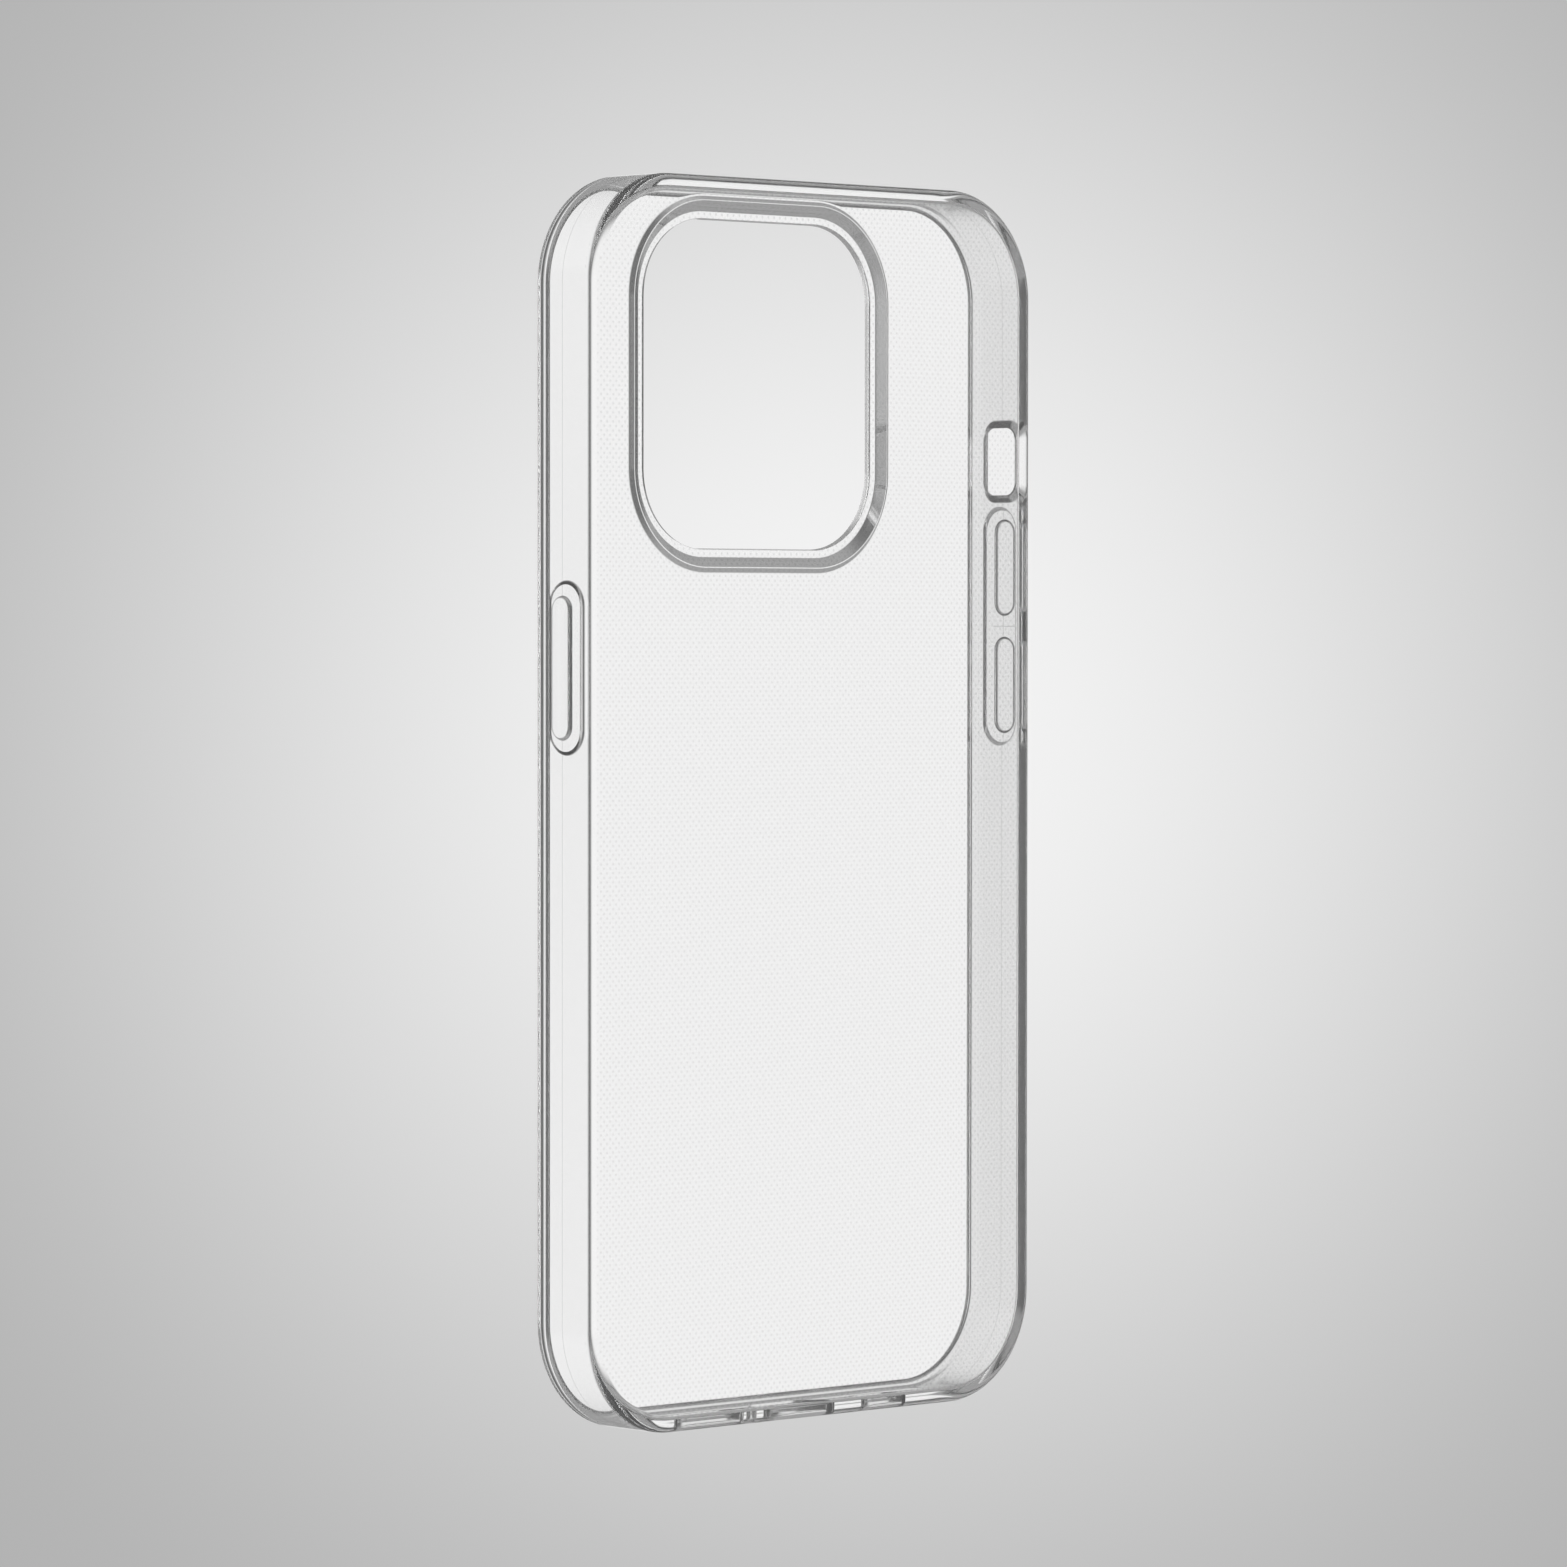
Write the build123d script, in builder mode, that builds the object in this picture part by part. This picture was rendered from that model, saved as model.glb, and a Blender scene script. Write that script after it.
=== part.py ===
"""Clear soft case for a phone: back sheet, walls, front lip, camera surround and button covers.

The real case is one shot of soft, clear TPU. Its regions are kept as separate solids that meet face to
face, because the button covers move and each region has its own job.

Millimetres. The origin is where the middle of the phone's back sits, in the middle of the pocket's floor.
+Z runs up to the camera end, the case's back faces -Y, the phone goes in from +Y, and the volume buttons
are on the +X wall.
"""
import os
from math import radians, tan

from build123d import *

# The phone that the case is moulded for
phone_width = 71.6
phone_height = 147.6
phone_depth = 7.8

# Shell
wall = 1.2  # beside the phone's front edge, where it is thinnest
back_thickness = 1.2
lip_thickness = 1.15  # stands above the phone's glass
lip_overlap = 1.0  # laps over the phone's front
grip_draft = 2.0  # degrees; the pocket narrows towards its floor and grips the phone
corner_radius = 13.35
back_edge_radius = 1.25
front_edge_radius = 0.95
lip_mouth_chamfer = 0.7
lip_root_chamfer = 0.35
lip_heel_chamfer = 0.2
floor_chamfer = 0.5
seam_land = 0.1  # flat strip left beside a rounded or chamfered edge, where two regions meet

# Camera opening, and the raised surround that keeps the lenses off a table
camera_width = 37.4
camera_height = 39.4
camera_left = -28.35
camera_top = 69.75
camera_corner_radius = 9.5
surround_ledge = 0.9  # width of the sunk ledge round the opening
surround_ledge_thickness = 0.7
surround_climb = 1.1  # width over which it climbs from the ledge to the crest
surround_crest = 0.2  # width of the level crest
surround_height = 0.42  # of the crest over the back
surround_slope = 0.5  # width over which it falls away to the back

# Button covers: each is a pad in a thin web, where the wall is relieved from inside so that it can flex
pad_width = 3.3
pad_proud = 0.5
pad_edge_radius = 0.45
web_thickness = 0.8
relief_width = 5.1
relief_flare = 40.0  # degrees that the relief's sides lean out towards the phone
power_middle = 16.2
power_length = 17.05
power_relief = 19.8
volume_middle = 21.15
volume_spacing = 14.7
volume_length = 12.0
volume_relief = 29.0

# Opening for the silent switch, flared so that a fingertip gets to it
switch_middle = 41.75
switch_length = 8.4
switch_width = 5.6
switch_corner_radius = 1.6
flare_length = 10.3
flare_width = 6.4
flare_corner_radius = 2.1
flare_depth = 0.8

# Bottom wall: charging port, speaker slot, microphone slot and the small hole beside the port
port_middle = -0.5
port_length = 11.2
port_width = 6.0
port_edge_chamfer = 0.35
speaker_middle = -15.45
speaker_length = 11.1
microphone_middle = 13.85
microphone_length = 7.3
sound_slot_width = 2.6
small_hole_middle = -8.45
small_hole_radius = 0.75

# Sizes and places that follow from those
case_width = phone_width + 2 * wall
case_height = phone_height + 2 * wall
back_y = -back_thickness
ledge_y = -surround_ledge_thickness
crest_y = back_y - surround_height
rim_y = phone_depth + lip_thickness
lip_seam_y = phone_depth - lip_root_chamfer - seam_land
middle_y = (back_y + rim_y) / 2
floor_inset = wall + phone_depth * tan(radians(grip_draft)) + floor_chamfer + seam_land
climb_margin = surround_ledge + surround_climb
crest_margin = climb_margin + surround_crest
surround_width = crest_margin + surround_slope
side_x = case_width / 2
web_x = side_x - web_thickness
cut_depth = 3 * wall  # longer than any wall is thick
volume_up_middle = volume_middle + volume_spacing / 2
volume_down_middle = volume_middle - volume_spacing / 2


def back_plane(y):
    """Plane parallel to the back, facing out of it, at a distance in front of the phone's back."""
    return Plane.XZ.offset(-y)


def side_plane(x):
    """Plane parallel to the side walls, half way between back and rim; its axes run to +Y and +Z."""
    return Plane(origin=(x, middle_y, 0), x_dir=(0, 1, 0), z_dir=(1, 0, 0))


def case_outline(inset=0.0, mode=Mode.ADD):
    """Outline of the case seen from the back, drawn in by an inset."""
    width = case_width - 2 * inset
    height = case_height - 2 * inset
    RectangleRounded(width, height, corner_radius - inset, mode=mode)


def camera_outline(margin=0.0, mode=Mode.ADD):
    """Outline of the camera opening, let out by a margin."""
    width = camera_width + 2 * margin
    height = camera_height + 2 * margin
    with Locations((camera_left + camera_width / 2, camera_top - camera_height / 2)):
        RectangleRounded(width, height, camera_corner_radius + margin, mode=mode)


def camera_flare(y, margin, next_y, next_margin, mode=Mode.ADD):
    """Solid between two outlines of the camera opening, each let out by its own margin."""
    with BuildSketch(back_plane(y)) as start:
        camera_outline(margin)
    with BuildSketch(back_plane(next_y)) as end:
        camera_outline(next_margin)
    loft([start.sketch.face(), end.sketch.face()], mode=mode)


def side_slot(middle, length, width, mode=Mode.ADD):
    """Upright round-ended slot in the plane of a side wall."""
    with Locations((0, middle)):
        SlotOverall(length, width, rotation=90, mode=mode)


def cut_pocket():
    """Cut the phone's drafted pocket out of the part being built."""
    with BuildSketch(back_plane(phone_depth)) as mouth:
        case_outline(wall)
    extrude(mouth.sketch, amount=phone_depth, taper=grip_draft, mode=Mode.SUBTRACT)


def cut_relief(side, middle, length):
    """Open a side wall for a button's web, and relieve the wall from inside round the web."""
    with BuildSketch(side_plane(side * web_x)) as window:
        side_slot(middle, length, relief_width)
    extrude(window.sketch, amount=side * cut_depth, mode=Mode.SUBTRACT)
    extrude(window.sketch, amount=-side * wall, taper=-relief_flare, mode=Mode.SUBTRACT)


def fill_web(side, middle, relief, pad_middles, pad_length):
    """Fill a relieved window with its thin web, leaving a hole for each pad."""
    with BuildSketch(side_plane(side * web_x)) as window:
        side_slot(middle, relief, relief_width)
        for pad_middle in pad_middles:
            side_slot(pad_middle, pad_length, pad_width, mode=Mode.SUBTRACT)
    extrude(window.sketch, amount=side * web_thickness)


def fill_pad(side, middle, length):
    """Make a button's pad, from its web's inside face to its rounded outer face."""
    with BuildSketch(side_plane(side * web_x)) as slot:
        side_slot(middle, length, pad_width)
    pad = extrude(slot.sketch, amount=side * (web_thickness + pad_proud))
    outer_rim = pad.edges().group_by(Axis.X)[-1 if side > 0 else 0]
    fillet(outer_rim, pad_edge_radius)


def write(part, name):
    """Label a finished region and write its STEP file."""
    part.label = name
    export_step(part, f"parts/{name}.step")


os.makedirs("parts", exist_ok=True)

# Back sheet, flat between the foot of the walls and the camera surround
with BuildPart() as back_panel:
    with BuildSketch(back_plane(0)):
        case_outline(floor_inset)
        camera_outline(surround_width, mode=Mode.SUBTRACT)
    extrude(amount=back_thickness)
write(back_panel.part, "back_panel")

# Camera surround: a low ridge that falls away to the back sheet, with a thin sunk ledge inside it
with BuildPart() as camera_bezel:
    with BuildSketch(back_plane(0)):
        camera_outline(surround_width)
    extrude(amount=back_thickness)
    camera_flare(back_y, surround_width, crest_y, crest_margin)
    camera_flare(crest_y, climb_margin, ledge_y, surround_ledge, mode=Mode.SUBTRACT)
    with BuildSketch(back_plane(0)):
        camera_outline()
    extrude(amount=-crest_y, mode=Mode.SUBTRACT)
write(camera_bezel.part, "camera_bezel")

# Walls: rounded outside, with a drafted pocket inside and a foot that turns into the back sheet
with BuildPart() as side_frame:
    with BuildSketch(back_plane(lip_seam_y)):
        case_outline()
    extrude(amount=lip_seam_y - back_y)
    fillet(side_frame.faces().sort_by(Axis.Y)[0].edges(), back_edge_radius)
    cut_pocket()
    pocket_floor = side_frame.faces().filter_by(Axis.Y).sort_by(Axis.Y)[1]
    chamfer(pocket_floor.edges(), floor_chamfer)
    with BuildSketch(back_plane(0)):
        case_outline(floor_inset)
    extrude(amount=back_thickness, mode=Mode.SUBTRACT)

    # windows for the button webs
    cut_relief(-1, power_middle, power_relief)
    cut_relief(1, volume_middle, volume_relief)

    # silent switch: straight through the inside of the wall, then flared out to its face
    with BuildSketch(side_plane(side_x - flare_depth)) as switch:
        with Locations((0, switch_middle)):
            RectangleRounded(switch_width, switch_length, switch_corner_radius)
    extrude(amount=-cut_depth, mode=Mode.SUBTRACT)
    add(switch.sketch)
    with BuildSketch(side_plane(side_x)):
        with Locations((0, switch_middle)):
            RectangleRounded(flare_width, flare_length, flare_corner_radius)
    loft(mode=Mode.SUBTRACT)

    # bottom wall: port and sound openings
    with BuildSketch(Plane.XY.offset(-case_height / 2)):
        with Locations((port_middle, middle_y)):
            SlotOverall(port_length, port_width)
        with Locations((speaker_middle, middle_y)):
            SlotOverall(speaker_length, sound_slot_width)
        with Locations((microphone_middle, middle_y)):
            SlotOverall(microphone_length, sound_slot_width)
        with Locations((small_hole_middle, middle_y)):
            Circle(small_hole_radius)
    extrude(amount=cut_depth, mode=Mode.SUBTRACT)
    underside = side_frame.faces().sort_by(Axis.Z)[0]
    port_rim = underside.inner_wires().sort_by(SortBy.LENGTH)[-1].edges()
    chamfer(port_rim, port_edge_chamfer)
write(side_frame.part, "side_frame")

# Front lip: rounded over outside, bevelled round its mouth, and undercut where it holds the phone in
with BuildPart() as screen_lip:
    with BuildSketch(back_plane(rim_y)):
        case_outline()
        case_outline(wall + lip_overlap, mode=Mode.SUBTRACT)
    extrude(amount=rim_y - lip_seam_y)
    cut_pocket()
    rim = screen_lip.faces().sort_by(Axis.Y)[-1]
    fillet(rim.outer_wire().edges(), front_edge_radius)
    rim = screen_lip.faces().sort_by(Axis.Y)[-1]
    chamfer(rim.inner_wires()[0].edges(), lip_mouth_chamfer)
    ledge = screen_lip.faces().filter_by(Axis.Y).sort_by(Axis.Y)[1]
    chamfer(ledge.outer_wire().edges(), lip_root_chamfer)
    ledge = screen_lip.faces().filter_by(Axis.Y).sort_by(Axis.Y)[1]
    chamfer(ledge.inner_wires()[0].edges(), lip_heel_chamfer)
write(screen_lip.part, "screen_lip")

# Power button cover, on the -X wall
with BuildPart() as power_button_web:
    fill_web(-1, power_middle, power_relief, [power_middle], power_length)
write(power_button_web.part, "power_button_web")

with BuildPart() as power_button:
    fill_pad(-1, power_middle, power_length)
write(power_button.part, "power_button")

# Volume button covers, on the +X wall: two pads in one relieved window, each with its half of the web
volume_pads = [volume_up_middle, volume_down_middle]
web_parting = Plane.XY.offset(volume_middle)

with BuildPart() as volume_up_web:
    fill_web(1, volume_middle, volume_relief, volume_pads, volume_length)
    split(bisect_by=web_parting, keep=Keep.TOP)
write(volume_up_web.part, "volume_up_web")

with BuildPart() as volume_down_web:
    fill_web(1, volume_middle, volume_relief, volume_pads, volume_length)
    split(bisect_by=web_parting, keep=Keep.BOTTOM)
write(volume_down_web.part, "volume_down_web")

with BuildPart() as volume_up_button:
    fill_pad(1, volume_up_middle, volume_length)
write(volume_up_button.part, "volume_up_button")

with BuildPart() as volume_down_button:
    fill_pad(1, volume_down_middle, volume_length)
write(volume_down_button.part, "volume_down_button")
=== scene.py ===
"""Clear soft phone case, standing on its lower edge.

The three button covers are patches of the same skin, which give way when
their pads are pressed, so each patch is a piece of its own.
"""

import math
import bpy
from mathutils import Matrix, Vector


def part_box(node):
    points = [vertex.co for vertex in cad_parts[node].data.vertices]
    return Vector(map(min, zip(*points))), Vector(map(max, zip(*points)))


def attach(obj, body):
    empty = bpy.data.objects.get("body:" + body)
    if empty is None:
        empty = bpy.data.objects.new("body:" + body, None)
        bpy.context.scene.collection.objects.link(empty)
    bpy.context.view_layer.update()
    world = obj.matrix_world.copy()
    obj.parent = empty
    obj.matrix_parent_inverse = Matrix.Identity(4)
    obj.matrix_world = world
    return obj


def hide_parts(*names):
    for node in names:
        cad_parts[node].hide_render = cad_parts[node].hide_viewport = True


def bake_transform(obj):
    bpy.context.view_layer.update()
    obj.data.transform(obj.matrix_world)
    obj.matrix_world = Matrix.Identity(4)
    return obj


bl_info = {
    "name": "Clear phone case",
    "version": (1, 0, 0),
    "blender": (4, 5, 0),
    "location": "3D View > Sidebar > Phone Case",
    "description": "Moulds a clear soft phone case and sets it in a plain studio",
    "category": "Object",
}

import bmesh
import bpy
from bpy.props import FloatProperty, FloatVectorProperty, IntProperty, PointerProperty
from mathutils import Matrix, Vector

MM = 0.001
TOUCHING = 3e-6  # points nearer than this are one point
ON_FACE = 4e-6  # a point this near a plane lies on it
SHARP_ANGLE = math.radians(35)
SQUARE = 0.01  # a normal's share along a direction that still counts as square to it

# The studio's light stays with the camera, as if the case were turned on a stand. Each light stands upright: its
# azimuth to the right of the view, its half width and its soft edge, all in degrees, then its brightness. They add
# to the dim surroundings.
SURROUNDINGS = 0.08
LIGHTS = {
    "pale backdrop": (-5, 8, 19, 0.94),
    "large light on the right": (50, 7, 15, 0.6),
    "pale wall on the right": (100, 45, 30, 0.36),
    "light behind the camera": (-150, 20, 35, 1.1),
}

# Above and below the view's level plane the lights turn to an even grey, from one angle in degrees to another.
GREY = 0.35
GREY_FROM = 8
GREY_TO = 17

# Seen past the case, the backdrop is a soft glow on grey, near the middle of the view. Its place and reach are in
# degrees.
BACKDROP = 0.45
GLOW = 0.46
GLOW_ASIDE = 0.56
GLOW_ABOVE = 0.53
GLOW_REACH = 10.3

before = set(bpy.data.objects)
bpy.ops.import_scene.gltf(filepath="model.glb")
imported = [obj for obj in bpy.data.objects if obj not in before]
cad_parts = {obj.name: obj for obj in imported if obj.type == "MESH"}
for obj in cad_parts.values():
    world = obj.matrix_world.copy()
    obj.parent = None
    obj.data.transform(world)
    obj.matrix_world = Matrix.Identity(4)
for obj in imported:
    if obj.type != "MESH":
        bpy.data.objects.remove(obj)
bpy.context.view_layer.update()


def node_box(*nodes):
    """Lowest and highest corner round some CAD nodes."""
    boxes = [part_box(node) for node in nodes]
    low = Vector([min(box[0][axis] for box in boxes) for axis in range(3)])
    high = Vector([max(box[1][axis] for box in boxes) for axis in range(3)])
    return low, high


CASE_LOW, CASE_HIGH = node_box("side_frame", "screen_lip")
BACK_LOW, BACK_HIGH = node_box("back_panel")
SURROUND_LOW, SURROUND_HIGH = node_box("camera_bezel")
BUTTON_WALL_Y = (node_box("power_button")[0].y + node_box("power_button")[1].y) / 2


def length(name, text, millimetres):
    """Property for a length, given in millimetres."""
    return FloatProperty(
        name=name, description=text, default=millimetres * MM, subtype="DISTANCE", unit="LENGTH", precision=5
    )


def turn(name, text, degrees):
    """Property for an angle, given in degrees."""
    return FloatProperty(name=name, description=text, default=math.radians(degrees), subtype="ANGLE", unit="ROTATION")


def ratio(name, text, value):
    """Property for a plain number."""
    return FloatProperty(name=name, description=text, default=value, precision=3)


def colour(name, text, value):
    """Property for a colour."""
    return FloatVectorProperty(name=name, description=text, default=value, subtype="COLOR", size=3, min=0, max=1)


class CaseShellSizes(bpy.types.PropertyGroup):
    """Walls, back sheet and front lip"""

    corner_radius: length("Corner radius", "Radius of the case's corners, seen from the back", 13.35)
    back_edge: length("Back edge", "Radius where the walls turn into the back", 1.25)
    front_edge: length("Front edge", "Radius outside the front rim", 0.95)
    wall: length("Wall", "Thickness of the wall beside the phone's front edge", 1.2)
    lip_overlap: length("Lip overlap", "How far the lip laps over the phone's front", 1.0)
    lip_thickness: length("Lip thickness", "Height of the lip over the phone's front", 1.15)
    lip_mouth: length("Lip mouth", "Radius inside the front rim", 0.7)
    lip_root: length("Lip root", "Radius where the wall meets the lip inside", 0.35)
    lip_heel: length("Lip heel", "Radius under the lip's free edge", 0.15)
    floor_edge: length("Floor edge", "Radius where the wall meets the pocket's floor", 0.5)
    draft: turn("Draft", "Lean of the pocket's walls, narrower at the floor", 2.0)
    sheet_start: length("Sheet start", "Distance from the case's side to where the flat sheet starts", 2.1)


class CameraOpeningSizes(bpy.types.PropertyGroup):
    """Camera opening and its raised surround"""

    width: length("Width", "Width of the opening", 37.4)
    height: length("Height", "Height of the opening", 39.4)
    corner_radius: length("Corner radius", "Radius of the opening's corners", 9.5)
    ledge: length("Ledge", "Width of the sunk ledge round the opening", 0.9)
    ledge_thickness: length("Ledge thickness", "Thickness of the ledge", 0.8)
    draft: length("Draft", "How much narrower the opening is on the phone's side", 0.12)
    crest: length("Crest", "Distance from the opening to the crest", 2.17)
    slope: length("Slope", "Width over which the surround falls away to the back", 0.6)
    mouth_edge: length("Mouth edge", "How far the edges of the opening are rounded off", 0.06)
    ledge_edge: length("Ledge edge", "How softly the ledge turns up to the crest", 0.1)
    crest_edge: length("Crest edge", "How far the crest is rounded off", 0.1)
    foot_edge: length("Foot edge", "How softly the slope runs out into the back", 0.15)


class ButtonSizes(bpy.types.PropertyGroup):
    """Button covers and the relieved windows that they flex in"""

    web: length("Web", "Thickness of the skin round a pad", 0.8)
    flare: turn("Flare", "Lean of the window's sides, wider towards the phone", 30.0)
    window_edge: length("Window edge", "Radius between window and pocket wall", 0.2)
    pad_edge: length("Pad edge", "Radius round a pad's face", 0.45)
    pad_foot: length("Pad foot", "Radius where a pad rises from its web", 0.08)


class WallOpeningSizes(bpy.types.PropertyGroup):
    """Silent switch, charging port and sound openings"""

    switch_middle: length("Switch middle", "Height of the switch opening over the case's middle", 41.75)
    switch_length: length("Switch length", "Length of the switch opening", 8.4)
    switch_width: length("Switch width", "Width of the switch opening", 5.6)
    switch_corner: length("Switch corner", "Corner radius of the switch opening", 1.6)
    flare_side: length("Flare at the sides", "Outward lean of the switch opening's long sides", 0.4)
    flare_end: length("Flare at the ends", "Outward lean of the switch opening's short sides", 0.95)
    flare_depth: length("Flare depth", "Depth of the switch opening's flare", 0.8)
    port_middle: length("Port middle", "Place of the charging port across the case", -0.5)
    port_length: length("Port length", "Length of the charging port's opening", 11.2)
    port_width: length("Port width", "Width of the charging port's opening", 6.0)
    speaker_middle: length("Speaker middle", "Place of the speaker slot across the case", -15.45)
    speaker_length: length("Speaker length", "Length of the speaker slot", 11.1)
    microphone_middle: length("Microphone middle", "Place of the microphone slot across the case", 13.85)
    microphone_length: length("Microphone length", "Length of the microphone slot", 7.3)
    slot_width: length("Slot width", "Width of the sound slots", 2.6)
    hole_middle: length("Hole middle", "Place of the small hole across the case", -8.45)
    hole_width: length("Hole width", "Diameter of the small hole", 1.5)
    rim: length("Rim", "Radius round the bottom openings", 0.3)
    inner_rim: length("Inner rim", "Radius of the openings' inside edges", 0.12)


class FinishColours(bpy.types.PropertyGroup):
    """Clear TPU, its fine dots and its parting lines, whose darkening is painted shade"""

    clearness: ratio("Clearness", "Share of the light that the clear TPU lets through", 0.995)
    haze: ratio("Haze", "Share of the light that the clear TPU scatters", 0.08)
    roughness: ratio("Roughness", "Roughness of the polished faces", 0.02)
    refraction: ratio("Refraction", "Index of refraction of the TPU", 1.49)
    dot_pitch: length("Dot pitch", "Distance between dots in a row", 0.956)
    dot_rows: length("Dot rows", "Distance between rows of dots", 0.533)
    dot_core: length("Dot core", "Radius of the darkest part of a dot", 0.068)
    dot_size: length("Dot size", "Width over which a dot fades", 0.17)
    dot_depth: ratio("Dot depth", "Share of the light that a dot keeps back", 0.22)
    floor_layer: length("Floor layer", "Depth of the layer on the pocket's floor that holds the dots", 0.05)
    parting: length("Parting", "Height of the mould's parting line over the pocket's floor", 3.975)
    parting_width: length("Parting width", "Half width of the parting line", 0.1)
    # Painted shade: how much darker the parting lines are drawn, in place of the light that their fine ridge bends
    # away
    parting_shade_depth: ratio("Parting depth", "Share of the light that a parting line keeps back", 0.4)
    bridge: length("Bridge", "Length of the parting line between the volume pads", 3.7)
    bridge_width: length("Bridge width", "Half width of the parting line between the volume pads", 0.15)
    skin_layer: length("Skin layer", "Depth of the layer under the skin that holds the parting lines", 0.2)


class FacetCounts(bpy.types.PropertyGroup):
    """How finely curves are cut into facets"""

    corner: IntProperty(name="Corner", description="Facets in a quarter turn", default=32, min=8)
    shell_edge: IntProperty(name="Shell edge", description="Facets in a rounded edge of the shell", default=8, min=2)
    edge: IntProperty(name="Edge", description="Facets in a rounded edge of an opening or a pad", default=6, min=2)
    floor: IntProperty(name="Floor", description="Sides of the round floor", default=64, min=8)


class StudioSettings(bpy.types.PropertyGroup):
    """Camera and floor"""

    azimuth: turn("Azimuth", "Turn of the camera round the case", -43.5989)
    elevation: turn("Elevation", "Height of the camera over the horizon", 1.35845)
    roll: turn("Roll", "Turn of the camera about its own axis", 0.04744)
    distance: length("Distance", "Distance from the camera to the case", 830.394)
    aside: length("Aside", "How far the camera stands to its left", 4.228)
    above: length("Above", "How far the camera stands above its axis", 2.087)
    lens: FloatProperty(name="Lens", description="Focal length in millimetres", default=157.26)
    floor_drop: length("Floor drop", "How far the floor lies below the case", 400)
    floor_radius: length("Floor radius", "Radius of the floor", 300)
    floor_colour: colour("Floor colour", "Colour of the floor", (0.82, 0.82, 0.82))
    floor_roughness: ratio("Floor roughness", "Roughness of the floor", 0.8)


class PhoneCaseSettings(bpy.types.PropertyGroup):
    """All sizes and colours"""

    shell: PointerProperty(type=CaseShellSizes)
    camera_opening: PointerProperty(type=CameraOpeningSizes)
    button: PointerProperty(type=ButtonSizes)
    openings: PointerProperty(type=WallOpeningSizes)
    facets: PointerProperty(type=FacetCounts)
    finish: PointerProperty(type=FinishColours)
    studio: PointerProperty(type=StudioSettings)


def settings():
    """The user's sizes and colours."""
    return bpy.context.scene.phone_case


# ---------------------------------------------------------------------------- modelling


def axes(across, along, outward, origin):
    """Matrix that places a feature drawn in its local XY plane, with local Z out of the case."""
    turned = Matrix((across, along, outward)).transposed().to_4x4()
    return Matrix.Translation(origin) @ turned


def swept_round(section, width, height, corner, edge_facets=None):
    """Section carried once round a rounded rectangle in the local XY plane.

    The section is a list of (outset, level, rounding): distance outside the rectangle, height over its plane, and
    the radius that rounds that corner of the section off. Where a section ends beside a flat face, its last stretch
    is a flat border, which close_flat joins to the rest of that face.
    """
    facets = settings().facets
    bm = bmesh.new()
    half_width = width / 2
    half_height = height / 2
    start = Vector((half_width, corner - half_height, 0))
    points = [bm.verts.new(start + Vector((outset, 0, level))) for outset, level, rounding in section]
    for near, far in zip(points, points[1:]):
        bm.edges.new((near, far))
    for point, (outset, level, rounding) in zip(points, section):
        if rounding:
            bmesh.ops.bevel(
                bm,
                geom=[point],
                offset=rounding,
                offset_type="OFFSET",
                segments=edge_facets or facets.edge,
                profile=0.5,
                affect="VERTICES",
                material=-1,
            )
    run_up = Vector((0, height - 2 * corner, 0))
    run_across = Vector((2 * corner - width, 0, 0))
    legs = [(run_up, 1, 1), (run_across, -1, 1), (-run_up, -1, -1), (-run_across, 1, -1)]
    moving = bm.verts[:] + bm.edges[:]
    for run, side, end in legs:
        if run.length > TOUCHING:
            moved = bmesh.ops.spin(bm, geom=moving, dvec=run, axis=(0, 0, 1), angle=0, steps=1)
            moving = moved["geom_last"]
        hub = Vector((side * (half_width - corner), end * (half_height - corner), 0))
        moved = bmesh.ops.spin(bm, geom=moving, cent=hub, axis=(0, 0, 1), angle=math.pi / 2, steps=facets.corner)
        moving = moved["geom_last"]
    bmesh.ops.remove_doubles(bm, verts=bm.verts[:], dist=TOUCHING)
    return bm


def take_in(bm, feature, placing):
    """Add a feature's faces to a part, in their place."""
    mesh = bpy.data.meshes.new("feature")
    feature.to_mesh(mesh)
    feature.free()
    mesh.transform(placing)
    bm.from_mesh(mesh)
    bpy.data.meshes.remove(mesh)


def close_flat(bm, on_face):
    """Fill a flat stretch between the open edges that lie on it."""
    edges = [edge for edge in bm.edges if edge.is_boundary and all(on_face(vert.co) for vert in edge.verts)]
    bmesh.ops.triangle_fill(bm, edges=edges, use_beauty=True)


def clear_flat(bm, on_face):
    """Take out the flat faces of a stretch, so that openings can be let into it."""
    faces = [face for face in bm.faces if all(on_face(vert.co) for vert in face.verts)]
    bmesh.ops.delete(bm, geom=faces, context="FACES_ONLY")


def mark_seams(bm, is_seam):
    """Give the hidden faces, where two patches of the skin join, the second material."""
    for face in bm.faces:
        face.material_index = 1 if is_seam(face) else 0


def list_in_order(bm):
    """Give the faces a fixed order, because a fill lists its own in any order."""
    bm.verts.index_update()
    ordered = sorted(bm.faces, key=lambda face: sorted(vert.index for vert in face.verts))
    for place, face in enumerate(ordered):
        face.index = place
    bm.faces.sort()


def new_object(name, bm, materials):
    """New object in the scene, made of the faces of a bmesh."""
    mesh = bpy.data.meshes.new(name)
    bm.to_mesh(mesh)
    bm.free()
    for material in materials:
        mesh.materials.append(material)
    made = bpy.data.objects.new(name, mesh)
    bpy.context.scene.collection.objects.link(made)
    return made


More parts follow.
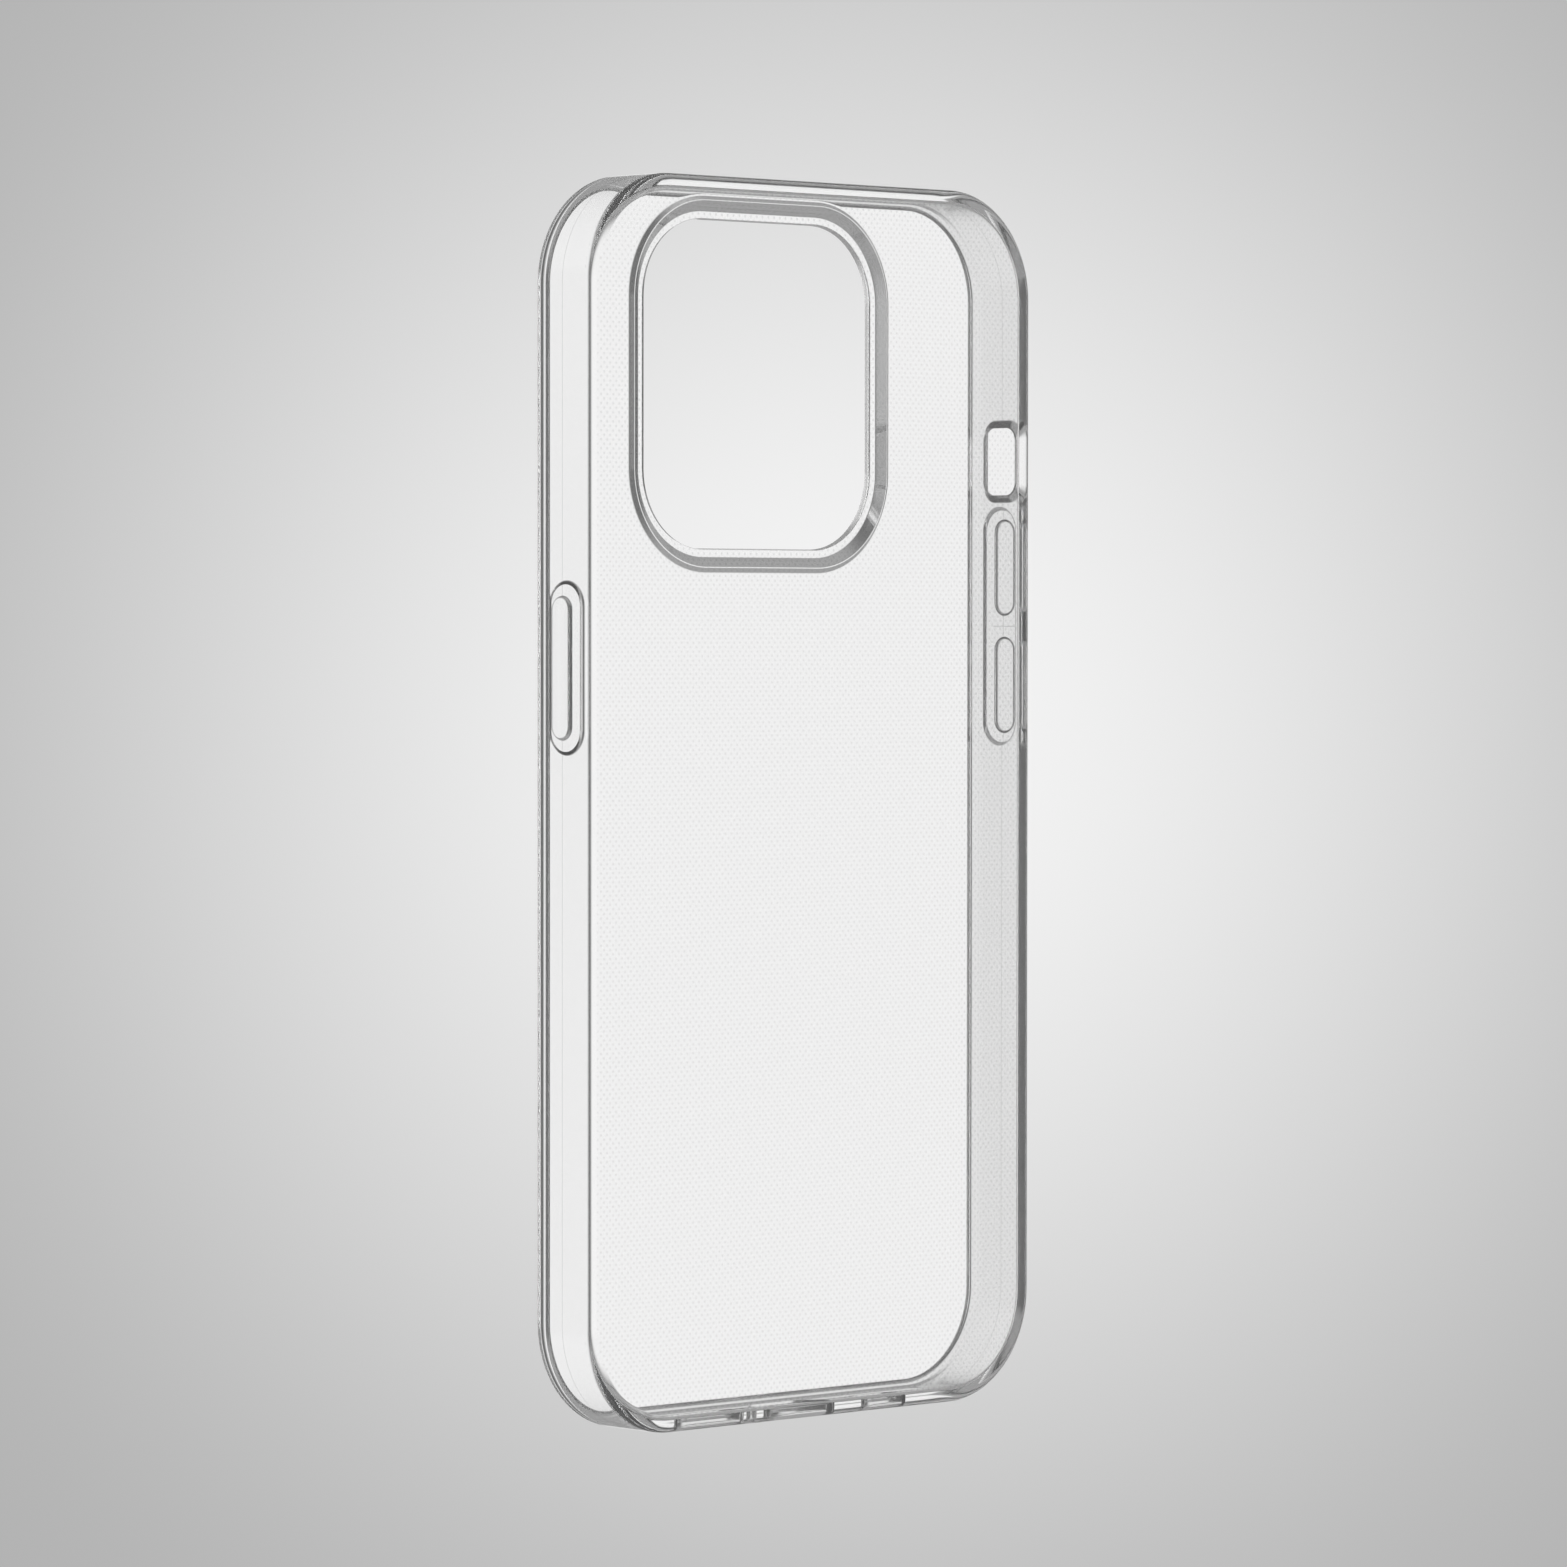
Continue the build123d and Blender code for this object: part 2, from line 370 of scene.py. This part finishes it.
def finished_piece(name, bm, materials, body=None):
    """Piece of the case, with smooth shading that stays flat on flat faces."""
    bmesh.ops.remove_doubles(bm, verts=bm.verts[:], dist=TOUCHING)
    bmesh.ops.recalc_face_normals(bm, faces=bm.faces[:])
    list_in_order(bm)
    for face in bm.faces:
        face.smooth = True
    for edge in bm.edges:
        edge.smooth = len(edge.link_faces) == 2 and edge.calc_face_angle() < SHARP_ANGLE
    piece = new_object(name, bm, materials)
    shading = piece.modifiers.new("Flat faces stay flat", "WEIGHTED_NORMAL")
    shading.keep_sharp = True
    if body:
        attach(piece, body)
    return piece


# ---------------------------------------------------------------------------- the walls' planes


def wall_depth(height):
    """Thickness of a wall at a height over the pocket's floor."""
    sizes = settings().shell
    phone_depth = CASE_HIGH.y - sizes.lip_thickness
    return sizes.wall + (phone_depth - height) * math.tan(sizes.draft)


def outer_face(outward, reach):
    """Test for the flat outer face of a wall."""
    return lambda point: abs(point.dot(outward) - reach) < ON_FACE


def inner_face(outward, reach):
    """Test for the leaning inner face of a wall."""
    return lambda point: abs(reach - point.dot(outward) - wall_depth(point.y)) < ON_FACE


def lean(bm, outward, reach, kept):
    """Lean what lies deeper than kept in an opening, so that its inside rim lies on the pocket's wall."""
    plain = wall_depth(0)
    for vert in bm.verts:
        depth = reach - vert.co.dot(outward)
        if depth > kept + TOUCHING:
            leaned = kept + (depth - kept) * (wall_depth(vert.co.y) - kept) / (plain - kept)
            vert.co += outward * (depth - leaned)


RIGHT = Vector((1, 0, 0))
LEFT = Vector((-1, 0, 0))
DOWN = Vector((0, 0, -1))
UP = Vector((0, 0, 1))
BACK = Vector((0, -1, 0))


def side_placing(outward, reach, height):
    """Placing for a feature on a side wall."""
    origin = outward * reach + Vector((0, BUTTON_WALL_Y, height))
    return axes(UP.cross(outward), UP, outward, origin)


def window_section():
    """Section of a button's window: the web's seam, then the flared relief."""
    sizes = settings().button
    depth = wall_depth(0)
    spread = (depth - sizes.web) * math.tan(sizes.flare)
    return [
        (0, 0, 0),
        (0, -sizes.web, 0),
        (spread, -depth, sizes.window_edge),
        (spread + 2 * sizes.window_edge, -depth, 0),
    ]


def window_size(*webs):
    """Width, length and middle height of the window that some webs fill."""
    low, high = node_box(*webs)
    return high.y - low.y, high.z - low.z, (high.z + low.z) / 2


# ---------------------------------------------------------------------------- pieces


def wall_ring():
    """Walls and front lip, from the back sheet's outside round to its inside."""
    sizes = settings().shell
    back = -CASE_LOW.y
    rim = -CASE_HIGH.y
    ledge = rim + sizes.lip_thickness
    mouth = sizes.wall + sizes.lip_overlap
    section = [
        (-sizes.sheet_start, back, 0),
        (0, back, sizes.back_edge),
        (0, rim, sizes.front_edge),
        (-mouth, rim, sizes.lip_mouth),
        (-mouth, ledge, sizes.lip_heel),
        (-sizes.wall, ledge, sizes.lip_root),
        (-wall_depth(0), 0, sizes.floor_edge),
        (-sizes.sheet_start, 0, 0),
    ]
    size = CASE_HIGH - CASE_LOW
    return swept_round(section, size.x, size.z, sizes.corner_radius, settings().facets.shell_edge)


def camera_ring():
    """Raised surround of the camera opening and the opening's own wall."""
    sizes = settings().camera_opening
    back = -BACK_LOW.y
    crest = -SURROUND_LOW.y
    foot = sizes.crest + sizes.slope
    section = [
        (foot + 2 * sizes.foot_edge, back, 0),
        (foot, back, sizes.foot_edge),
        (sizes.crest, crest, sizes.crest_edge),
        (sizes.ledge, sizes.ledge_thickness, sizes.ledge_edge),
        (0, sizes.ledge_thickness, sizes.mouth_edge),
        (-sizes.draft, 0, sizes.mouth_edge),
        (2 * sizes.mouth_edge, 0, 0),
    ]
    return swept_round(section, sizes.width, sizes.height, sizes.corner_radius, settings().facets.shell_edge)


def switch_opening():
    """Opening for the silent switch, flared more at its ends than at its sides."""
    sizes = settings().openings
    depth = wall_depth(0)
    section = [
        (sizes.flare_side + 2 * sizes.inner_rim, 0, 0),
        (sizes.flare_side, 0, sizes.inner_rim),
        (0, -sizes.flare_depth, sizes.inner_rim),
        (0, -depth, sizes.inner_rim),
        (2 * sizes.inner_rim, -depth, 0),
    ]
    bm = swept_round(section, sizes.switch_width, sizes.switch_length, sizes.switch_corner)
    further = sizes.flare_end - sizes.flare_side
    for vert in bm.verts:
        opened = 1 + vert.co.z / sizes.flare_depth
        if opened > 0:
            vert.co.y += math.copysign(further * opened, vert.co.y)
    return bm


def through_slot(slot_length, slot_width, rim):
    """Round-ended opening through the bottom wall."""
    inner_rim = settings().openings.inner_rim
    depth = wall_depth(0)
    section = [
        (2 * rim, 0, 0),
        (0, 0, rim),
        (0, -depth, inner_rim),
        (2 * inner_rim, -depth, 0),
    ]
    return swept_round(section, slot_length, slot_width, slot_width / 2)


def open_wall(bm, outward, reach, features):
    """Let openings into a straight wall. A feature is (its faces, placing, depth that stays straight)."""
    for face in (outer_face(outward, reach), inner_face(outward, reach)):
        clear_flat(bm, face)
    for feature, placing, kept in features:
        bmesh.ops.transform(feature, matrix=placing, verts=feature.verts[:])
        lean(feature, outward, reach, kept)
        take_in(bm, feature, Matrix())
    bmesh.ops.remove_doubles(bm, verts=bm.verts[:], dist=TOUCHING)
    for face in (outer_face(outward, reach), inner_face(outward, reach)):
        close_flat(bm, face)


def on_button_seam(outward, reach):
    """Test for faces between a button's patch and the shell, which stand square to the wall."""
    web = settings().button.web

    def test(face):
        depth = reach - face.calc_center_median().dot(outward)
        square = abs(face.normal.dot(outward)) < SQUARE
        return square and abs(depth - web / 2) < TOUCHING

    return test


class PHONECASE_OT_shell(bpy.types.Operator):
    """Mould the shell: back sheet, walls, front lip, camera surround and openings"""

    bl_idname = "phone_case.shell"
    bl_label = "Clear shell"

    def execute(self, context):
        sizes = settings().openings
        kept_web = settings().button.web
        flat_on_back = axes(RIGHT, UP, BACK, Vector((0, 0, (CASE_LOW.z + CASE_HIGH.z) / 2)))
        bm = bmesh.new()
        take_in(bm, wall_ring(), flat_on_back)

        power_width, power_length, power_middle = window_size("power_button_web")
        power_window = swept_round(window_section(), power_width, power_length, power_width / 2)
        placing = side_placing(LEFT, CASE_HIGH.x, power_middle)
        open_wall(bm, LEFT, CASE_HIGH.x, [(power_window, placing, kept_web)])

        volume_width, volume_length, volume_middle = window_size("volume_up_web", "volume_down_web")
        volume_window = swept_round(window_section(), volume_width, volume_length, volume_width / 2)
        volume_placing = side_placing(RIGHT, CASE_HIGH.x, volume_middle)
        switch_placing = side_placing(RIGHT, CASE_HIGH.x, sizes.switch_middle)
        features = [
            (volume_window, volume_placing, kept_web),
            (switch_opening(), switch_placing, sizes.flare_depth),
        ]
        open_wall(bm, RIGHT, CASE_HIGH.x, features)

        slots = [
            (sizes.port_middle, sizes.port_length, sizes.port_width, sizes.rim),
            (sizes.speaker_middle, sizes.speaker_length, sizes.slot_width, sizes.inner_rim),
            (sizes.microphone_middle, sizes.microphone_length, sizes.slot_width, sizes.inner_rim),
            (sizes.hole_middle, sizes.hole_width, sizes.hole_width, sizes.inner_rim),
        ]
        features = []
        for middle, slot_length, slot_width, rim in slots:
            origin = Vector((middle, BUTTON_WALL_Y, CASE_LOW.z))
            features.append((through_slot(slot_length, slot_width, rim), axes(RIGHT, BACK, DOWN, origin), 0))
        open_wall(bm, DOWN, -CASE_LOW.z, features)

        opening_middle = (SURROUND_LOW + SURROUND_HIGH) / 2
        opening_middle.y = 0
        take_in(bm, camera_ring(), axes(RIGHT, UP, BACK, opening_middle))
        for level in (BACK_LOW.y, BACK_HIGH.y):
            close_flat(bm, lambda point: abs(point.y - level) < ON_FACE)

        bmesh.ops.recalc_face_normals(bm, faces=bm.faces[:])
        left_seam = on_button_seam(LEFT, CASE_HIGH.x)
        right_seam = on_button_seam(RIGHT, CASE_HIGH.x)
        mark_seams(bm, lambda face: left_seam(face) or right_seam(face))
        shell = finished_piece("clear_shell", bm, [clear_tpu(), seam_face()], "case")
        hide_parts("back_panel", "side_frame", "screen_lip", "camera_bezel")
        return {"FINISHED"}


def pad_ring(pad):
    """A pad's flank and face, round the outline of its CAD node."""
    sizes = settings().button
    low, high = node_box(pad)
    width = high.y - low.y
    proud = high.x - low.x - sizes.web
    flat_border = width / 3
    section = [
        (2 * sizes.pad_foot, 0, 0),
        (0, 0, sizes.pad_foot),
        (0, proud, sizes.pad_edge),
        (-flat_border, proud, 0),
    ]
    bm = swept_round(section, width, high.z - low.z, width / 2)
    close_flat(bm, lambda point: abs(point.z - proud) < ON_FACE)
    return bm, (low.z + high.z) / 2


def skin_patch(outward, webs, pads):
    """Skin that fills a button's window, with its pads."""
    sizes = settings().button
    reach = CASE_HIGH.x
    width, window_length, middle = window_size(*webs)
    bm = bmesh.new()
    edge = swept_round([(0, 0, 0), (0, -sizes.web, 0)], width, window_length, width / 2)
    take_in(bm, edge, side_placing(outward, reach, middle))
    for pad in pads:
        ring, pad_middle = pad_ring(pad)
        take_in(bm, ring, side_placing(outward, reach, pad_middle))
    for level in (reach, reach - sizes.web):
        close_flat(bm, outer_face(outward, level))
    return bm


def blend_patch(patch):
    """Bake a patch's placing into its mesh."""
    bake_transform(patch)


class PHONECASE_OT_power_cover(bpy.types.Operator):
    """Mould the skin and pad over the power button"""

    bl_idname = "phone_case.power_cover"
    bl_label = "Power button cover"

    def execute(self, context):
        bm = skin_patch(LEFT, ["power_button_web"], ["power_button"])
        mark_seams(bm, on_button_seam(LEFT, CASE_HIGH.x))
        patch = finished_piece("power_button_cover", bm, [clear_tpu(), seam_face()])
        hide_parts("power_button_web", "power_button")
        blend_patch(patch)
        return {"FINISHED"}


class PHONECASE_OT_volume_covers(bpy.types.Operator):
    """Mould the skin over the volume buttons, one half for each pad"""

    bl_idname = "phone_case.volume_covers"
    bl_label = "Volume button covers"

    def execute(self, context):
        webs = ["volume_up_web", "volume_down_web"]
        pads = ["volume_up_button", "volume_down_button"]
        parting = node_box("volume_up_web")[0].z
        for button, kept_side in zip(("volume_up", "volume_down"), (UP, DOWN)):
            bm = skin_patch(RIGHT, webs, pads)
            bmesh.ops.bisect_plane(
                bm,
                geom=bm.verts[:] + bm.edges[:] + bm.faces[:],
                dist=TOUCHING,
                plane_co=(0, 0, parting),
                plane_no=kept_side,
                clear_inner=True,
            )
            close_flat(bm, lambda point: abs(point.z - parting) < ON_FACE)
            bmesh.ops.recalc_face_normals(bm, faces=bm.faces[:])
            mark_seams(bm, on_button_seam(RIGHT, CASE_HIGH.x))
            patch = finished_piece(button + "_cover", bm, [clear_tpu(), seam_face()])
            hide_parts(button + "_web", button + "_button")
            blend_patch(patch)
        return {"FINISHED"}


# ---------------------------------------------------------------------------- materials


def new_material(name):
    """New material and its shader."""
    material = bpy.data.materials.new(name)
    material.use_nodes = True
    return material, material.node_tree.nodes["Principled BSDF"]


def node(tree, kind, *inputs, **values):
    """New node, with values set by name and inputs given in order as numbers or sockets."""
    made = tree.nodes.new(kind)
    for name, value in values.items():
        setattr(made, name, value)
    for socket, value in zip(made.inputs, inputs):
        if isinstance(value, bpy.types.NodeSocket):
            tree.links.new(value, socket)
        elif value is not None:
            socket.default_value = value
    return made


def math_node(tree, operation, *inputs):
    """Result of a maths node."""
    return node(tree, "ShaderNodeMath", *inputs, operation=operation).outputs[0]


def vector_node(tree, operation, *inputs):
    """Result of a vector maths node: a number for a length or a dot product, and otherwise a vector."""
    made = node(tree, "ShaderNodeVectorMath", *inputs, operation=operation)
    return made.outputs["Value" if operation in ("LENGTH", "DOT_PRODUCT") else "Vector"]


def fade(tree, value, full, spent, strength=1.0):
    """Strength while a value is low, which fades to nothing as it rises."""
    limits = (full, spent, strength, 0.0)
    return node(tree, "ShaderNodeMapRange", value, *limits, interpolation_type="SMOOTHSTEP").outputs["Result"]


def product(tree, first, second, third):
    """Product of three numbers."""
    return math_node(tree, "MULTIPLY", math_node(tree, "MULTIPLY", first, second), third)


def nearest_dot(tree, place, offset):
    """Distance to the nearest dot of one of the two upright grids that together are the staggered one."""
    finish = settings().finish
    across = finish.dot_pitch
    along = 2 * finish.dot_rows
    cells = vector_node(tree, "DIVIDE", place, (across, 1, along))
    shifted = vector_node(tree, "ADD", cells, (offset, 0, offset))
    centred = vector_node(tree, "SUBTRACT", vector_node(tree, "FRACTION", shifted), (0.5, 0.5, 0.5))
    return vector_node(tree, "LENGTH", vector_node(tree, "MULTIPLY", centred, (across, 0, along)))


def depth_under_skin(tree, place):
    """Depth of a place inside the case's rounded outline."""
    corner = settings().shell.corner_radius
    straight = (CASE_HIGH - CASE_LOW) / 2 - Vector((corner, 0, corner))
    flat = vector_node(tree, "MULTIPLY", place, (1, 0, 1))
    past = vector_node(tree, "SUBTRACT", vector_node(tree, "ABSOLUTE", flat), tuple(straight))
    reach = vector_node(tree, "LENGTH", vector_node(tree, "MAXIMUM", past, (0, 0, 0)))
    return math_node(tree, "SUBTRACT", corner, reach)


def band(tree, value, middle, half_width, softness):
    """One where a value is near the middle, and nothing away from it."""
    off = math_node(tree, "ABSOLUTE", math_node(tree, "SUBTRACT", value, middle))
    return fade(tree, off, half_width, half_width + softness)


def clear_tpu():
    """Polished clear TPU, with a grid of fine dots that keeps it off the phone, and faint parting lines darkened with
    painted shade in place of the light that their fine ridge bends away.
    """
    material = bpy.data.materials.get("clear TPU")
    if material:
        return material
    finish = settings().finish
    material, shader = new_material("clear TPU")
    tree = material.node_tree
    place = node(tree, "ShaderNodeTexCoord").outputs["Object"]
    side, depth, height = node(tree, "ShaderNodeSeparateXYZ", place).outputs

    away = math_node(tree, "MINIMUM", nearest_dot(tree, place, 0), nearest_dot(tree, place, 0.5))
    dots = band(tree, away, 0, finish.dot_core, finish.dot_size)
    on_floor = band(tree, depth, 0, finish.floor_layer, finish.floor_layer)
    dots = product(tree, dots, on_floor, finish.dot_depth)

    # The parting lines are real, but their darker band is painted shade in place of the light that a fine ridge bends
    # away
    along = band(tree, depth, finish.parting, 0, finish.parting_width)
    across = band(tree, height, node_box("volume_up_web")[0].z, 0, finish.bridge_width)
    between = band(tree, depth, BUTTON_WALL_Y, finish.bridge / 2, finish.parting_width)
    on_right = math_node(tree, "GREATER_THAN", side, 0)
    parting = math_node(tree, "MAXIMUM", along, product(tree, across, between, on_right))
    on_skin = band(tree, depth_under_skin(tree, place), 0, finish.skin_layer, finish.skin_layer / 2)
    parting = product(tree, parting, on_skin, finish.parting_shade_depth)

    # Base colour: the dots' own pattern and the parting lines' painted shade both dim it
    dots_and_parting_shade = math_node(tree, "MAXIMUM", dots, parting)
    tree.links.new(math_node(tree, "SUBTRACT", finish.clearness, dots_and_parting_shade), shader.inputs["Base Color"])
    shader.inputs["Roughness"].default_value = finish.roughness
    shader.inputs["IOR"].default_value = finish.refraction
    shader.inputs["Transmission Weight"].default_value = 1 - finish.haze
    return material


def seam_face():
    """Nothing at all: inside the moulding, one patch of skin runs on into the next."""
    material = bpy.data.materials.get("inside the skin")
    if material:
        return material
    material, shader = new_material("inside the skin")
    shader.inputs["Alpha"].default_value = 0
    return material


# ---------------------------------------------------------------------------- stage


def add_floor():
    """Pale floor of the studio, far enough below the case to stay out of the picture."""
    studio = settings().studio
    material, shader = new_material("pale floor")
    shader.inputs["Base Color"].default_value = (*studio.floor_colour, 1)
    shader.inputs["Roughness"].default_value = studio.floor_roughness
    sides = settings().facets.floor
    placing = Matrix.Translation((0, 0, CASE_LOW.z - studio.floor_drop))
    bm = bmesh.new()
    bmesh.ops.create_circle(bm, cap_ends=True, segments=sides, radius=studio.floor_radius, matrix=placing)
    floor = new_object("floor", bm, [material])


def camera_axes():
    """The camera's right, up and back directions."""
    studio = settings().studio
    flat = math.cos(studio.elevation)
    back = Vector((math.sin(studio.azimuth) * flat, -math.cos(studio.azimuth) * flat, math.sin(studio.elevation)))
    right = UP.cross(back).normalized()
    above = back.cross(right)
    rolling = Matrix.Rotation(studio.roll, 3, back)
    return rolling @ right, rolling @ above, back


def add_camera():
    """Camera where the case is seen from its back and its left side."""
    studio = settings().studio
    right, above, back = camera_axes()
    place = -right * studio.aside + above * studio.above + back * studio.distance
    place.y += BACK_LOW.y
    data = bpy.data.cameras.new("Camera")
    data.sensor_width = 36
    data.lens = studio.lens
    data.clip_start = 10 * MM
    camera = bpy.data.objects.new("Camera", data)
    camera.matrix_world = axes(right, above, back, place)
    bpy.context.scene.collection.objects.link(camera)
    bpy.context.scene.camera = camera


def mixed(tree, share, first, second):
    """Blend of two numbers."""
    return node(tree, "ShaderNodeMix", share, None, first, second).outputs[0]


def angle_from(tree, direction, axis):
    """Angle in degrees between a direction and a fixed axis."""
    angle = math_node(tree, "ARCCOSINE", vector_node(tree, "DOT_PRODUCT", direction, tuple(axis)))
    return math_node(tree, "DEGREES", angle)


def soft_light(tree, level_direction, light):
    """Light that stands upright at an azimuth to the right of the view, and fades at its sides."""
    azimuth, half_width, soft_edge, strength = light
    turned = math.radians(azimuth)
    aside = angle_from(tree, level_direction, (math.sin(turned), 0, math.cos(turned)))
    return fade(tree, aside, half_width, half_width + soft_edge, strength)


def add_light():
    """Soft studio light: a pale glow behind the case, dark beside it, and large lights further round.

    Directions are the camera's own: right, up and ahead. Past the case the camera sees the backdrop alone; the
    lights are what shows through the clear walls and is mirrored in them.
    """
    world = bpy.data.worlds.new("Studio")
    bpy.context.scene.world = world
    world.use_nodes = True
    tree = world.node_tree
    tree.nodes.clear()
    direction = node(tree, "ShaderNodeTexCoord").outputs["Camera"]

    glow = Vector((math.radians(GLOW_ASIDE), math.radians(GLOW_ABOVE), 1)).normalized()
    backdrop = fade(tree, angle_from(tree, direction, glow), 0, GLOW_REACH, GLOW)
    backdrop = math_node(tree, "ADD", backdrop, BACKDROP)

    level = vector_node(tree, "NORMALIZE", vector_node(tree, "MULTIPLY", direction, (1, 0, 1)))
    off_level = math_node(tree, "SUBTRACT", angle_from(tree, direction, (0, 1, 0)), 90)
    off_level = math_node(tree, "ABSOLUTE", off_level)
    around = SURROUNDINGS
    for light in LIGHTS.values():
        around = math_node(tree, "ADD", around, soft_light(tree, level, light))
    around = mixed(tree, fade(tree, off_level, GREY_FROM, GREY_TO), GREY, around)

    seen = node(tree, "ShaderNodeLightPath").outputs["Is Camera Ray"]
    background = node(tree, "ShaderNodeBackground", mixed(tree, seen, around, backdrop))
    output = node(tree, "ShaderNodeOutputWorld")
    tree.links.new(background.outputs[0], output.inputs["Surface"])


class PHONECASE_OT_stage(bpy.types.Operator):
    """Set up the floor, the camera and the soft studio light"""

    bl_idname = "phone_case.stage"
    bl_label = "Studio"

    def execute(self, context):
        context.scene.view_settings.view_transform = "Standard"
        add_floor()
        add_camera()
        add_light()
        return {"FINISHED"}


class PHONECASE_PT_sidebar(bpy.types.Panel):
    """Pieces of the phone case"""

    bl_label = "Phone Case"
    bl_idname = "PHONECASE_PT_sidebar"
    bl_space_type = "VIEW_3D"
    bl_region_type = "UI"
    bl_category = "Phone Case"

    def draw(self, context):
        for operator in OPERATORS:
            self.layout.operator(operator.bl_idname)
        for group in PhoneCaseSettings.__annotations__:
            box = self.layout.box()
            values = getattr(settings(), group)
            for name in values.__annotations__:
                box.prop(values, name)


SETTINGS = [
    CaseShellSizes,
    CameraOpeningSizes,
    ButtonSizes,
    WallOpeningSizes,
    FacetCounts,
    FinishColours,
    StudioSettings,
    PhoneCaseSettings,
]
OPERATORS = [PHONECASE_OT_shell, PHONECASE_OT_power_cover, PHONECASE_OT_volume_covers, PHONECASE_OT_stage]


def register():
    for group in SETTINGS + OPERATORS + [PHONECASE_PT_sidebar]:
        bpy.utils.register_class(group)
    bpy.types.Scene.phone_case = PointerProperty(type=PhoneCaseSettings)


def unregister():
    del bpy.types.Scene.phone_case
    for group in reversed(SETTINGS + OPERATORS + [PHONECASE_PT_sidebar]):
        bpy.utils.unregister_class(group)


def main():
    """Make the case and its studio."""
    register()
    bpy.ops.phone_case.shell()
    bpy.ops.phone_case.power_cover()
    bpy.ops.phone_case.volume_covers()
    bpy.ops.phone_case.stage()


if __name__ == "__main__":
    main()
